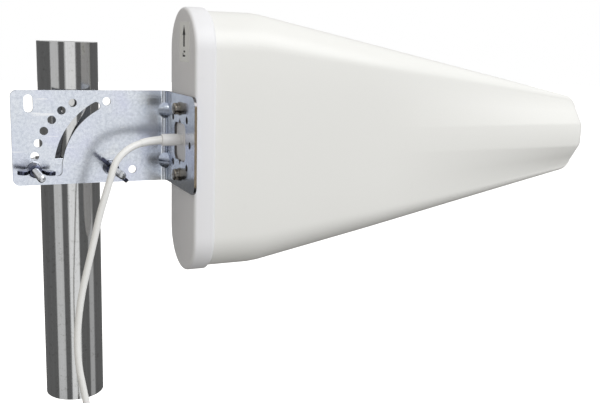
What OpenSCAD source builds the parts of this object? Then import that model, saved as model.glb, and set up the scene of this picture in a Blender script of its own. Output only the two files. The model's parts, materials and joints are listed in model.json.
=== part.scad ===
// Log-periodic directional antenna in a moulded radome, on an L bracket that
// a U-bolt and two wing nuts clamp to a round mast.
// The origin is the centre of the mast's lower end, +Z is up along the mast and
// +X is the way the antenna points. Millimetres.

/* [Mast] */
// Outside diameter of the mast
mast_d = 48.3; // [42:0.1:48.3]
// Wall thickness of the mast
mast_wall = 1.5; // [1:0.5:3]
// Length of the mast stub
mast_len = 303; // [290:1:400]

/* [Bracket] */
// Height of the bracket's lower edge above the mast's lower end
bracket_z = 190; // [150:1:215]
// Height of the bracket
bracket_h = 75.2; // [75.2:0.2:80]
// Sheet thickness of the bracket
sheet_t = 2; // [1.5:0.5:2.5]
// Distance from the mast axis to the face of the bracket's flange
flange_x = 74.5; // [74.5:0.25:86]
// Distance from the mast axis to the bracket's left edge
plate_left = 48.5; // [46:0.25:60]
// Reach of the flange in front of the plate
flange_reach = 79; // [78:1:84]
// Diameter of the clearance holes for the clamp's legs
leg_hole_d = 6.6; // [6.4:0.1:7]

/* [Clamp] */
// Diameter of the U-bolt's rod
rod_d = 6; // [5:0.5:6]
// Distance between the U-bolt's two legs
leg_pitch = 60; // [60:0.5:60.5]
// Middle of the two legs along X; the mast leans on the pivot leg
leg_mid = -2.5; // [-2.5:0.25:0]
// How far the legs stand out in front of the plate
leg_reach = 46; // [30:1:48]
// Turn of the wing nut on the index leg, seen from the front
index_nut_turn = 3; // [-180:1:180]
// Turn of the wing nut on the pivot leg, seen from the front
pivot_nut_turn = 44; // [-180:1:180]

/* [Radome] */
// Height of the rear cap
cap_h = 210; // [205:1:220]
// Thickness of the rear cap
cap_t = 65; // [62:1:70]
// Depth of the rear cap
cap_depth = 17.4; // [15:0.2:20]
// Length of the radome body in front of the cap
body_len = 388.5; // [380:0.5:400]
// Height of the radome's tip
tip_h = 70; // [66:1:80]
// Thickness of the radome's tip
tip_t = 36; // [34:1:40]
// Wall thickness of the radome
wall = 2.3; // [1.8:0.1:3]

/* [Antenna array] */
// Number of dipoles
dipoles = 11; // [8:1:11]
// Ratio between one dipole and the next
tau = 0.88; // [0.86:0.01:0.88]
// Half-length of the longest dipole
longest_arm = 95; // [80:1:96]
// Diameter of the dipole rods
arm_d = 3.5; // [2:0.5:4]
// Side of the square boom tubes
boom_w = 8; // [8:0.5:9]

/* [Cable] */
// Diameter of the coaxial cable
cable_d = 5.4; // [4.8:0.1:5.4]
// Diameter of the gland on the rear cap
gland_d = 9.4; // [9:0.1:12]

/* [Hidden] */
$fn = 64;
eps = 0.01;
half_pitch = leg_pitch / 2;
index_x = leg_mid - half_pitch;
pivot_x = leg_mid + half_pitch;
legs_x = [index_x, pivot_x];
mast_r = mast_d / 2;
saddle_depth = 2.85;
plate_front = -(mast_r + saddle_depth + sheet_t);
plate_back = plate_front + sheet_t;
leg_z = bracket_z + 12.6;
axis_y = plate_front - 40.5;
axis_z = bracket_z + 37.5;
gland_z = axis_z + 1.7;
cap_x = flange_x + sheet_t;
cap_floor = 2.5;
seam_x = cap_x + cap_depth;
tip_x = seam_x + body_len;
body_h = cap_h - 5;
body_t = cap_t - 5;
gasket_t = 1.5;
shell_x = cap_x + cap_floor + gasket_t;
screw_spread = 26.3;
bend_in = 4.5;
plate_t = 5;
plate_x = cap_x + cap_floor;
holder_x = plate_x + plate_t;
boom_gap = 3;
boom_y = (boom_w + boom_gap) / 2;
boom_start = holder_x + 15;
holder_depth = 24;
first_dipole = cap_x + 34;
apex_length = 486;
boom_end = first_dipole + apex_length * (1 - pow(tau, dipoles - 1)) + 8.5;

gland_x = 59.75;

// Cable route outside the gland, from its mouth down past the mast's foot
cable_route = [
    [59.45, -69.5, 229.2], [49.5, -70, 228.3], [42.75, -71, 227], [35.25, -72.5, 224.5],
    [28.75, -74, 220.5], [23.75, -75, 215.5], [20.75, -75.5, 210], [18.25, -75.5, 202],
    [14.75, -75, 190.5], [9.75, -74, 173], [6.25, -73, 157.5], [1.75, -72, 137.5],
    [-3.25, -71, 116], [-6.25, -70.5, 99], [-8.25, -70, 80], [-8.75, -70, 65],
    [-7.75, -70, 48], [-5.25, -70, 32], [-2.75, -70, 17], [-0.25, -70, 0], [1.25, -70, -15],
    [1.75, -70, -30]
];
cable_end = cable_route[len(cable_route) - 1] - [0, 0, 0.1];
sleeve_points = 3;
// Cable route inside, from the gland's mouth along the near boom to the feed point
inner_route = [
    [gland_x, -69.5, 229.2], [71, -69.5, 229.2], [81, -69.5, 229.2], [87.5, -71, 228.7],
    [93.5, -74, 227.8], [99, -75, 227.5], [106, -75, 227.5], [118, -75, 227.5],
    [142, -75, 227.5], [190, -75, 227.5], [280, -75, 227.5], [boom_end, -75, 227.5]
];

dipole_names = [for (i = [1:dipoles]) for (side = ["up", "down"]) str("dipole_", i, "_", side)];

// ---- Shared shapes ----

// A cylinder along Y that starts at y and runs towards +Y
module along_y(x, y, z, r, h) {
    translate([x, y, z]) rotate([-90, 0, 0]) cylinder(r = r, h = h);
}

// A cylinder along X that starts at x and runs towards +X
module along_x(x, y, z, r, h) {
    translate([x, y, z]) rotate([0, 90, 0]) cylinder(r = r, h = h);
}

// A flat ring along Y
module washer_y(x, y, z, r_out, r_in, h) {
    difference() {
        along_y(x, y, z, r_out, h);
        along_y(x, y - 1, z, r_in, h + 2);
    }
}

// A flat ring along X
module washer_x(x, y, z, r_out, r_in, h) {
    difference() {
        along_x(x, y, z, r_out, h);
        along_x(x - 1, y, z, r_in, h + 2);
    }
}

// Upright stadium outline in the YZ plane, extruded along X from x
module stadium(x, h, t, depth) {
    translate([x, axis_y, axis_z]) rotate([90, 0, 90])
        linear_extrude(depth) {
            square([t, h - t], center = true);
            for (s = [-1, 1]) translate([0, s * (h - t) / 2]) circle(d = t, $fn = 96);
        }
}

function unit(v) = v / norm(v);

// Point on a smooth curve through the route's points, u from 0 to 1 in stretch i
function route_point(p, i, u) =
    let (a = p[max(i - 1, 0)], b = p[i], c = p[i + 1], d = p[min(i + 2, len(p) - 1)])
    ((2 * b) + (c - a) * u + (2 * a - 5 * b + 4 * c - d) * u * u
        + (3 * b - a - 3 * c + d) * u * u * u) / 2;

function smooth_route(p, n) = concat(
    [for (i = [0:len(p) - 2]) for (k = [0:n - 1]) route_point(p, i, k / n)],
    [p[len(p) - 1]]);

// Ring of points around a curve; the routes never run along Y
function tube_ring(q, i, r, sides) =
    let (t = unit(q[min(i + 1, len(q) - 1)] - q[max(i - 1, 0)]),
         n = unit(cross([0, 1, 0], t)), b = cross(t, n))
    [for (k = [0:sides - 1]) q[i] + r * (cos(360 * k / sides) * n + sin(360 * k / sides) * b)];

// Solid between consecutive closed rings that hold n points each
module skin(rings, n) {
    last = len(rings) - 1;
    sides = [for (i = [0:last - 1]) for (k = [0:n - 1]) let (m = (k + 1) % n)
        [i * n + k, i * n + m, (i + 1) * n + m, (i + 1) * n + k]];
    caps = [[for (k = [n - 1:-1:0]) k], [for (k = [0:n - 1]) last * n + k]];
    polyhedron([for (ring = rings) for (p = ring) p], concat(sides, caps), convexity = 8);
}

module route_tube(p, r, n, sides) {
    q = smooth_route(p, n);
    skin([for (i = [0:len(q) - 1]) tube_ring(q, i, r, sides)], sides);
}

// Hose with an open bore: its rings run out along the outside and back along the bore
module route_hose(p, r_out, r_in, n, sides) {
    q = smooth_route(p, n);
    last = len(q) - 1;
    rings = concat([for (i = [0:last]) tube_ring(q, i, r_out, sides)],
                   [for (i = [last:-1:0]) tube_ring(q, i, r_in, sides)]);
    count = len(rings);
    polyhedron([for (ring = rings) for (v = ring) v],
               [for (i = [0:count - 1]) for (k = [0:sides - 1])
                   let (a = i * sides, b = (i + 1) % count * sides, m = (k + 1) % sides)
                   [a + k, a + m, b + m, b + k]], convexity = 8);
}

// ---- Mast ----

module mast_tube() {
    color([0.45, 0.46, 0.48]) difference() {
        cylinder(d = mast_d, h = mast_len, $fn = 128);
        translate([0, 0, -1]) cylinder(r = mast_r - mast_wall, h = mast_len + 2, $fn = 128);
    }
}

// ---- Bracket ----

plate_right = flange_x + sheet_t;
slot_pivot = [46, bracket_z + 10];
slot_w = 6.8;
slot_sweep = 61;
spare_angle = 70;
hole_step = 10.2;
hole_count = 7;
plate_corner = 5;
cutout = 30;

// L profile of the folded sheet, seen from above
module fold_profile() {
    bend_out = bend_in + sheet_t;
    bend_x = plate_right - bend_out;
    bend_y = plate_back - bend_out;
    translate([-plate_left, plate_front]) square([bend_x + plate_left, sheet_t]);
    translate([flange_x, plate_front - flange_reach])
        square([sheet_t, bend_y - plate_front + flange_reach]);
    translate([bend_x, bend_y]) intersection() {
        difference() {
            circle(bend_out);
            circle(bend_in);
        }
        square(bend_out);
    }
}

// Removes a square corner down to a radius; the arc's centre is at the origin
module corner_cut(r, depth) {
    translate([0, 0, -depth / 2]) linear_extrude(depth) difference() {
        square(r + 1);
        circle(r);
    }
}

// Arc slot for the other pivot position, outline in the XZ plane
module slot_outline() {
    difference() {
        intersection() {
            circle(leg_pitch + slot_w / 2, $fn = 128);
            polygon([[0, 0], [-90, 0], [-90, 90 * tan(slot_sweep / 2)],
                     [-90 * cos(slot_sweep), 90 * sin(slot_sweep)]]);
        }
        circle(leg_pitch - slot_w / 2, $fn = 128);
    }
    for (a = [0, slot_sweep])
        translate([-leg_pitch * cos(a), leg_pitch * sin(a)]) circle(d = slot_w);
}

module plate_holes() {
    depth = sheet_t + 2;
    y = plate_front - 1;
    along_y(pivot_x, y, leg_z, leg_hole_d / 2, depth);
    for (i = [0:hole_count - 1]) {
        a = i * hole_step;
        along_y(pivot_x - leg_pitch * cos(a), y, leg_z + leg_pitch * sin(a),
                leg_hole_d / 2, depth);
    }
    along_y(slot_pivot[0], y, slot_pivot[1], leg_hole_d / 2, depth);
    along_y(slot_pivot[0] - leg_pitch * cos(spare_angle), y,
            slot_pivot[1] + leg_pitch * sin(spare_angle), leg_hole_d / 2, depth);
    translate([slot_pivot[0], y + depth, slot_pivot[1]]) rotate([90, 0, 0])
        linear_extrude(depth) slot_outline();
    translate([13.25 - plate_left, y + depth, bracket_z + 64.8]) rotate([90, 0, 0]) linear_extrude(depth) {
        square([7, 7], center = true);
        for (s = [-3.5, 3.5]) translate([0, s]) circle(d = 7);
    }
}

module flange_holes() {
    depth = sheet_t + 2;
    x = flange_x - 1;
    for (a = [0:45:315])
        along_x(x, axis_y + screw_spread * cos(a), axis_z + screw_spread * sin(a), 2.8, depth);
    c = cutout / 2;
    k = 3.5;
    notch = 3;
    translate([x, axis_y, axis_z]) rotate([90, 0, 90]) linear_extrude(depth)
        polygon([[c, c - k], [c - k, c], [notch, c], [0, c + 4], [-notch, c], [k - c, c],
                 [-c, c - k], [-c, k - c], [k - c, -c], [-notch, -c], [0, -c - 4],
                 [notch, -c], [c - k, -c], [c, k - c]]);
}

// Stamped stiffening dart across the inside of the fold
dart_plate = 6.5;
dart_flange = 10.5;
dart_r = 7.5;
dart_wall = 1.8;
module dart_rod(z, r) {
    fall = atan2(dart_plate, dart_flange);
    translate([flange_x - dart_plate, plate_front, z]) rotate([0, 0, fall])
        translate([dart_r, 0, 0]) rotate([90, 0, 0]) cylinder(r = r, h = 80, center = true);
}

module darts() {
    for (z = [bracket_z + 17, bracket_z + 59]) intersection() {
        dart_rod(z, dart_r);
        translate([flange_x - dart_plate - 8, plate_front - dart_flange - 12, z - 20])
            cube([dart_plate + 8 + eps, dart_flange + 12 + eps, 40]);
    }
}

module bracket() {
    top = bracket_z + bracket_h;
    near = plate_front - flange_reach;
    near_corner = 8;
    color([0.68, 0.71, 0.76]) difference() {
        union() {
            translate([0, 0, bracket_z]) linear_extrude(bracket_h) fold_profile();
            darts();
        }
        for (z = [bracket_z + 17, bracket_z + 59]) dart_rod(z, dart_r - dart_wall);
        plate_holes();
        flange_holes();
        translate([plate_corner - plate_left, plate_front, top - plate_corner])
            rotate([90, 0, 180]) corner_cut(plate_corner, 20);
        translate([plate_corner - plate_left, plate_front, bracket_z + plate_corner])
            rotate([-90, 0, 0]) mirror([1, 0, 0]) corner_cut(plate_corner, 20);
        translate([flange_x, near + near_corner, top - near_corner])
            rotate([90, 0, -90]) corner_cut(near_corner, 20);
        translate([flange_x, near + near_corner, bracket_z + near_corner])
            rotate([-90, 0, -90]) corner_cut(near_corner, 20);
    }
}

// ---- Clamp ----

saddle_w = 80;
saddle_h = 16;
saddle_t = 2.2;
saddle_gap = 0.3;
leg_slot_w = 7.2;
// Toothed channel between the plate and the mast, slotted for the legs
module saddle() {
    z = leg_z - saddle_h / 2;
    tooth = 2;
    jaw_y = plate_back + 17.5;
    color([0.72, 0.74, 0.77]) difference() {
        union() {
            translate([-saddle_w / 2, plate_back, z]) cube([saddle_w, saddle_t, saddle_h]);
            for (flange_z = [z, z + saddle_h - saddle_t]) translate([0, 0, flange_z])
                linear_extrude(saddle_t) difference() {
                    translate([-saddle_w / 2, plate_back])
                        square([saddle_w, jaw_y - plate_back]);
                    circle(mast_r + saddle_gap, $fn = 128);
                    // the teeth on both sides of the mast
                    for (s = [-1, 1]) for (a = [24:6:54])
                        translate([s * (mast_r + 0.6) * sin(a), -(mast_r + 0.6) * cos(a)])
                            rotate(s * a) circle(d = tooth, $fn = 4);
                }
        }
        for (x = legs_x) along_y(x, plate_back - 1, leg_z, leg_hole_d / 2, 12);
        for (x = legs_x) translate([x - leg_slot_w / 2, plate_back + saddle_t, z - 1])
            cube([leg_slot_w, 30, saddle_h + 2]);
    }
}

// U-shaped rod around the back of the mast
module u_bolt() {
    tip = plate_front - leg_reach;
    back = -0.8;
    color([0.78, 0.79, 0.8]) {
        translate([leg_mid, back, leg_z]) rotate_extrude(angle = 180, $fn = 96)
            translate([half_pitch, 0]) circle(d = rod_d);
        for (x = legs_x) {
            along_y(x, tip + 1, leg_z, rod_d / 2, back - tip - 1);
            translate([x, tip + 1, leg_z]) rotate([90, 0, 0])
                cylinder(r1 = rod_d / 2, r2 = rod_d / 2 - 0.8, h = 1);
        }
    }
}

flat_t = 1.2;
lock_t = 1.5;
nut_y = plate_front - flat_t - lock_t;
module leg_flat_washers() {
    color([0.75, 0.76, 0.78]) for (x = legs_x)
        washer_y(x, plate_front - flat_t, leg_z, 6.2, 3.3, flat_t);
}

module leg_lock_washers() {
    color([0.5, 0.5, 0.52]) for (x = legs_x) difference() {
        washer_y(x, nut_y, leg_z, 5.2, 3.2, lock_t);
        translate([x, nut_y - 1, leg_z + 2]) rotate([0, 20, 0])
            cube([0.6, 6, 5]);
    }
}

// Wing nut, its seat on the lock washer and its wings along the turned X axis
module wing_nut(x, turn) {
    hub_h = 9;
    wing_t = 3.2;
    wing_span = 29;
    wing_h = 18;
    wing_r = 4.2;
    root_r = 2.6;
    bore_r = rod_d / 2 + 0.05;
    rod_clear = 4.4;
    translate([x, nut_y, leg_z]) rotate([0, turn, 0]) rotate([90, 0, 0])
        difference() {
            union() {
                cylinder(r1 = 6, r2 = 5, h = hub_h);
                for (side = [-1, 1]) rotate([90, 0, 0]) linear_extrude(wing_t, center = true)
                    hull() {
                        translate([side * 3.9, 4]) circle(r = root_r, $fn = 32);
                        translate([side * (wing_span / 2 - wing_r), wing_h - wing_r])
                            circle(r = wing_r, $fn = 32);
                    }
            }
            translate([0, 0, -1]) cylinder(r = bore_r, h = hub_h + 2);
            translate([0, 0, hub_h]) cylinder(r = rod_clear, h = wing_h);
        }
}

module wing_nut_index() {
    color([0.2, 0.21, 0.24]) wing_nut(index_x, index_nut_turn);
}

module wing_nut_pivot() {
    color([0.2, 0.21, 0.24]) wing_nut(pivot_x, pivot_nut_turn);
}

// ---- Screws between bracket and antenna ----

screw_r = 2.5;
screw_flat_t = 1;
screw_lock_t = 1.2;
head_h = 3.4;
head_r = 4.7;
module screw_places() {
    for (s = [-1, 1]) translate([0, 0, s * screw_spread]) children();
}

module mount_screws() {
    seat = flange_x - screw_flat_t - screw_lock_t;
    color([0.42, 0.41, 0.4]) screw_places() difference() {
        union() {
            along_x(seat, axis_y, axis_z, screw_r, holder_x - seat + 1.5);
            along_x(seat - head_h + 1.2, axis_y, axis_z, head_r, head_h - 1.2);
            translate([seat - head_h + 1.2, axis_y, axis_z]) rotate([0, -90, 0])
                cylinder(r1 = head_r, r2 = head_r - 1.3, h = 1.2);
        }
        translate([seat - head_h + 0.9, axis_y, axis_z]) {
            cube([2, 5, 1], center = true);
            cube([2, 1, 5], center = true);
        }
    }
}

module screw_lock_washers() {
    x = flange_x - screw_flat_t - screw_lock_t;
    color([0.5, 0.48, 0.45]) screw_places() difference() {
        washer_x(x, axis_y, axis_z, 4.6, 2.7, screw_lock_t);
        translate([x - 1, axis_y, axis_z + 2]) rotate([20, 0, 0]) cube([6, 0.6, 4]);
    }
}

module screw_flat_washers() {
    color([0.6, 0.6, 0.6]) screw_places()
        washer_x(flange_x - screw_flat_t, axis_y, axis_z, 5.3, 2.7, screw_flat_t);
}

// ---- Antenna housing ----

module end_cap() {
    edge = 2.2;
    rim = 1.6;
    color([0.93, 0.93, 0.92]) difference() {
        union() {
            hull() {
                stadium(cap_x, cap_h - 2 * edge, cap_t - 2 * edge, eps);
                stadium(cap_x + edge, cap_h, cap_t, eps);
            }
            stadium(cap_x + edge, cap_h, cap_t, cap_depth - edge - rim);
            hull() {
                stadium(seam_x - rim - eps, cap_h, cap_t, eps);
                stadium(seam_x - eps, cap_h - 2 * rim, cap_t - 2 * rim, eps);
            }
        }
        stadium(plate_x, body_h + 0.6, body_t + 0.6, cap_depth);
        along_x(cap_x - 1, axis_y, gland_z, gland_thread_r + 0.1, cap_floor + 2);
        screw_places() along_x(cap_x - 1, axis_y, axis_z, 2.75, cap_floor + 2);
    }
}

module cap_gasket() {
    color([0.15, 0.15, 0.15]) difference() {
        stadium(plate_x, body_h, body_t, gasket_t);
        stadium(plate_x - 1, body_h - 6, body_t - 6, gasket_t + 2);
    }
}

// The radome's outline changes along X: s is 0 at the end of its straight
// stretch and 1 at the tip, and f is 0 where the side ridge starts and 1 at the tip
straight_len = 40;
ridge_start = 150;
ridge_half = 11;
edge_back = body_t / 2;
edge_tip = 3.5;
taper_start = seam_x + straight_len;
function mix(a, b, u) = a + (b - a) * u;
function clamp01(u) = min(max(u, 0), 1);
function taper(x) = clamp01((x - taper_start) / (tip_x - taper_start));
function ridge(x) = clamp01((x - seam_x - ridge_start) / (tip_x - seam_x - ridge_start));
function half_h(x) = mix(body_h / 2, tip_h / 2, taper(x));
function half_t(x) = mix(body_t / 2, tip_t / 2, taper(x));
function edge_z(x) = mix(edge_back, edge_tip, taper(x));
function facet_t(x) = mix(half_t(x), edge_tip, pow(ridge(x), 1.15));

// One half of the outline, from the lower edge to the upper one
arc_steps = 5;
function half_outline(x, inset) =
    let (h = half_h(x) - inset, t = half_t(x) - inset,
         e = min(facet_t(x), half_t(x)) - inset * clamp01(facet_t(x) / 12), z = half_h(x) - edge_z(x))
    concat(
        [for (k = [0:arc_steps]) let (a = 90 * k / arc_steps) [e * sin(a), -z - (h - z) * cos(a)]],
        [[t, -ridge_half], [t, ridge_half]],
        [for (k = [arc_steps:-1:0]) let (a = 90 * k / arc_steps) [e * sin(a), z + (h - z) * cos(a)]]);

// Closed ring at x; k_h and k_t shrink it where the tip rounds over
function body_ring(x, inset, k_h, k_t) =
    let (near = half_outline(x, inset), n = len(near))
    concat(
        [for (i = [0:n - 1]) [x, axis_y - near[i][0] * k_t, axis_z + near[i][1] * k_h]],
        [for (i = [n - 2:-1:1]) [x, axis_y + near[i][0] * k_t, axis_z + near[i][1] * k_h]]);

ring_points = 2 * (2 * arc_steps + 4) - 2;
tip_round = 12;
body_stations = concat(
    [shell_x, seam_x, taper_start], [for (d = [70:40:350]) seam_x + d], [tip_x - tip_round]);

function body_rings(inset, start) = concat(
    [for (i = [0:len(body_stations) - 1]) let (x = i == 0 ? start : body_stations[i])
        body_ring(x, inset, 1, 1)],
    [for (a = [20:20:80]) let (x = tip_x - tip_round + (tip_round - inset) * sin(a))
        body_ring(x, inset, 1 - 0.3 * (1 - cos(a)), 1 - 0.35 * (1 - cos(a)))]);

module radome_shell() {
    color([0.95, 0.95, 0.94]) difference() {
        skin(body_rings(0, shell_x), ring_points);
        skin(body_rings(wall, shell_x - 1), ring_points);
    }
}

module direction_label() {
    label_w = 25;
    label_h = 30.5;
    corner = 2;
    color([0.88, 0.88, 0.86]) translate([cap_x - 0.15, axis_y - 5.5, axis_z + 78.25])
        rotate([90, 0, 90]) linear_extrude(0.15) {
            square([label_w - 2 * corner, label_h], center = true);
            square([label_w, label_h - 2 * corner], center = true);
            for (a = [-1, 1]) for (b = [-1, 1])
                translate([a * (label_w / 2 - corner), b * (label_h / 2 - corner)]) circle(corner);
        }
}

// ---- Inside the housing ----

module backing_plate() {
    color([0.7, 0.71, 0.72]) difference() {
        translate([plate_x, axis_y - 18, axis_z - 38]) cube([plate_t, 36, 76]);
        along_x(plate_x - 1, axis_y, gland_z, 10, plate_t + 2);
        screw_places() along_x(plate_x - 1, axis_y, axis_z, screw_r + 0.02, plate_t + 2);
    }
}

// Square sleeve that grips both booms and leaves room for the cable's bend
module boom_holder() {
    color([0.25, 0.25, 0.27]) difference() {
        translate([holder_x, axis_y - 20, axis_z - 20]) cube([holder_depth, 40, 40]);
        translate([holder_x - 1, axis_y - 12, axis_z - 10])
            cube([boom_start - holder_x + 1, 24, 20]);
        for (s = [-1, 1])
            translate([boom_start - 1, axis_y + s * boom_y - boom_w / 2, axis_z - boom_w / 2])
                cube([holder_depth, boom_w, boom_w]);
    }
}

module boom(s) {
    inner = boom_w - 2;
    translate([boom_start, axis_y + s * boom_y, axis_z]) difference() {
        translate([0, -boom_w / 2, -boom_w / 2]) cube([boom_end - boom_start, boom_w, boom_w]);
        translate([-1, -inner / 2, -inner / 2]) cube([boom_end - boom_start + 2, inner, inner]);
    }
}

module boom_near() {
    color([0.8, 0.81, 0.82]) boom(-1);
}

module boom_far() {
    color([0.8, 0.81, 0.82]) boom(1);
}

// One arm of a dipole: i counts from the rear, up is 1 or -1. The arms cross over
// from boom to boom at each dipole, which feeds them in opposite phase
module dipole_arm(i, up) {
    x = first_dipole + apex_length * (1 - pow(tau, i));
    s = (i % 2 == 0) ? up : -up;
    h = longest_arm * pow(tau, i) - boom_w / 2;
    color([0.82, 0.7, 0.45]) translate([x, axis_y + s * boom_y, axis_z + up * boom_w / 2])
        mirror([0, 0, up > 0 ? 0 : 1]) cylinder(d = arm_d, h = h);
}

// Plastic cross piece that centres the booms between the radome's walls
module spacer(x) {
    depth = 6;
    play = 0.4;
    reach = half_t(x + depth) - wall - play;
    color([0.3, 0.3, 0.32]) difference() {
        translate([x, axis_y - reach, axis_z - 9]) cube([depth, 2 * reach, 18]);
        for (s = [-1, 1])
            translate([x - 1, axis_y + s * boom_y - boom_w / 2, axis_z - boom_w / 2])
                cube([depth + 2, boom_w, boom_w]);
    }
}

module spacer_rear() { spacer(134); }
module spacer_middle() { spacer(280); }
module spacer_front() { spacer(428); }

module shorting_bridge() {
    color([0.75, 0.6, 0.35])
        translate([holder_x + holder_depth + 0.5, axis_y - boom_gap / 2, axis_z - 3])
            cube([4, boom_gap, 6]);
}

module feed_strap() {
    color([0.85, 0.6, 0.35]) difference() {
        translate([boom_end, axis_y - boom_y - 2.5, axis_z - 2.5])
            cube([0.8, 2 * boom_y + 5, 5]);
        along_x(boom_end - 1, axis_y + boom_y, axis_z, 1.6, 3);
    }
}

module feed_screw() {
    color([0.6, 0.6, 0.6]) {
        along_x(boom_end + 0.8, axis_y + boom_y, axis_z, 2.6, 1.4);
        along_x(boom_end - 5, axis_y + boom_y, axis_z, 1.5, 5.8);
    }
}

module inner_coax() {
    color([0.9, 0.9, 0.9]) route_tube(inner_route, cable_d / 2, 3, 10);
}

// ---- Cable outlet, cable and connector ----

cable_bore = cable_d / 2 + 0.1;
gland_thread_r = 4;
gland_neck = 2.2;
module cable_gland() {
    chamfer = 0.7;
    body_end = cap_x - gland_neck;
    color([0.97, 0.97, 0.97]) difference() {
        union() {
            along_x(gland_x, axis_y, gland_z, gland_d / 2, body_end - chamfer - gland_x);
            translate([body_end - chamfer - eps, axis_y, gland_z]) rotate([0, 90, 0])
                cylinder(r1 = gland_d / 2, r2 = gland_d / 2 - chamfer, h = chamfer + eps);
            along_x(body_end - eps, axis_y, gland_z, gland_thread_r, gland_neck + 8.5);
        }
        along_x(gland_x - 1, axis_y, gland_z, cable_bore, 40);
    }
}

module gland_nut() {
    color([0.9, 0.9, 0.9]) difference() {
        translate([plate_x, axis_y, gland_z]) rotate([0, 90, 0]) cylinder(r = 8, h = 4, $fn = 6);
        along_x(plate_x - 1, axis_y, gland_z, gland_thread_r + 0.03, 6);
    }
}

module strain_sleeve() {
    color([0.95, 0.95, 0.95])
        route_hose([for (i = [0:sleeve_points - 1]) cable_route[i]],
                   cable_d / 2 + 0.6, cable_d / 2 + 0.1, 3, 20);
}

module coax_cable() {
    color([0.96, 0.96, 0.95]) route_tube(cable_route, cable_d / 2, 3, 10);
}

// The connector hangs on the cable's end with its mouth down
socket_r = 4.3;
module connector_ferrule() {
    grip = 14;
    color([0.8, 0.8, 0.8]) translate(cable_end) difference() {
        cylinder(r = 4, h = grip);
        translate([0, 0, -1]) cylinder(r = 3.2, h = grip + 2);
    }
}

module connector_body() {
    color([0.78, 0.78, 0.77]) translate(cable_end) difference() {
        union() {
            translate([0, 0, -6]) cylinder(r = 5, h = 6);
            translate([0, 0, -14]) cylinder(r = 9.8, h = 8, $fn = 6);
            translate([0, 0, -26]) cylinder(r = 7.9, h = 12);
        }
        translate([0, 0, -27]) cylinder(r = socket_r, h = 14);
        translate([0, 0, -14]) cylinder(r = 1.2, h = 15);
    }
}

module connector_insulator() {
    color([0.97, 0.97, 0.95]) translate(cable_end) difference() {
        translate([0, 0, -18]) cylinder(r = socket_r - 0.02, h = 5);
        translate([0, 0, -19]) cylinder(r = 1.52, h = 7);
    }
}

module connector_contact() {
    color([0.83, 0.68, 0.3]) translate(cable_end) difference() {
        union() {
            translate([0, 0, -24]) cylinder(r = 1.5, h = 11);
            translate([0, 0, -13]) cylinder(r = 1, h = 12.9);
        }
        translate([0, 0, -25]) cylinder(r = 0.85, h = 6);
    }
}

// ---- Assembly ----

mast_tube();
bracket();
saddle();
u_bolt();
wing_nut_index();
wing_nut_pivot();
leg_flat_washers();
leg_lock_washers();
mount_screws();
screw_lock_washers();
screw_flat_washers();
end_cap();
cap_gasket();
radome_shell();
direction_label();
backing_plate();
boom_holder();
boom_near();
boom_far();
spacer_rear();
spacer_middle();
spacer_front();
shorting_bridge();
feed_strap();
feed_screw();
inner_coax();
cable_gland();
gland_nut();
strain_sleeve();
coax_cable();
connector_ferrule();
connector_body();
connector_insulator();
connector_contact();
for (i = [0:dipoles - 1]) {
    dipole_arm(i, 1);
    dipole_arm(i, -1);
}
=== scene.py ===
"""Looks of a log-periodic antenna on its mast bracket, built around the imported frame."""

import json
import math

import bmesh
import bpy
from mathutils import Matrix, Vector


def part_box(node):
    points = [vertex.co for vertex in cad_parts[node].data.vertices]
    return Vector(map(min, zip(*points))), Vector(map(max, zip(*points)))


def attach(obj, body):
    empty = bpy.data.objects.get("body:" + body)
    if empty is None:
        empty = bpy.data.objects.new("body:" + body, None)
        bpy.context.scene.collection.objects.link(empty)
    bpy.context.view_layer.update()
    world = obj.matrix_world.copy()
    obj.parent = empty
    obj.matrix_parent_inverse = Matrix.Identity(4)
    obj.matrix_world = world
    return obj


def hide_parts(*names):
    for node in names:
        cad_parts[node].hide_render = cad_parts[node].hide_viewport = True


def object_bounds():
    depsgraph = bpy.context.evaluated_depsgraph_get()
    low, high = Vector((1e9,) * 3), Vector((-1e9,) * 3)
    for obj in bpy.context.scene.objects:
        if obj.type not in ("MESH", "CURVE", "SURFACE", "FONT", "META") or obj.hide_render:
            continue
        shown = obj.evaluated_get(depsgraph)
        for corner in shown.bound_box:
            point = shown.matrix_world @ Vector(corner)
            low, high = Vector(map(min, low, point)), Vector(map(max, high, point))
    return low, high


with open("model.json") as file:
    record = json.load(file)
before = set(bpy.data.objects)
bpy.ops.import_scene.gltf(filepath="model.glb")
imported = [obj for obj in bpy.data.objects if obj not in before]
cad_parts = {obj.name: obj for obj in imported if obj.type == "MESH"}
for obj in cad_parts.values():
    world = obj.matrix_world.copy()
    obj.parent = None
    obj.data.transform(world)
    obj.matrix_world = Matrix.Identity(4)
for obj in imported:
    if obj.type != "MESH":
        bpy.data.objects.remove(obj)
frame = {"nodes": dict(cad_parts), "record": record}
cad_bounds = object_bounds()
MM = 0.001
HEAD = "antenna_head"


def span(node):
    """The lowest and highest corner of a CAD node, in millimetres."""
    low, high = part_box(node)
    return low / MM, high / MM


def middle(node):
    low, high = span(node)
    return (low + high) / 2


# ---- Places taken from the frame, in millimetres ----

cap_low, cap_high = span("end_cap")
body_low, body_high = span("radome_shell")
plate_low, plate_high = span("bracket")
bolt_low, bolt_high = span("u_bolt")
axis = middle("end_cap")
mast_low, mast_high = span("mast_tube")
mast_radius = (mast_high.x - mast_low.x) / 2
leg_z = middle("u_bolt").z
plate_front = span("leg_flat_washers")[1].y
nut_seat = span("wing_nut_index")[1].y
rod_radius = (bolt_high.z - bolt_low.z) / 2
half_pitch = (bolt_high.x - bolt_low.x) / 2 - rod_radius
leg_mid = (bolt_high.x + bolt_low.x) / 2
SCREW_HEAD_RADIUS = 4.7


# ---- Mesh helpers ----


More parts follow.
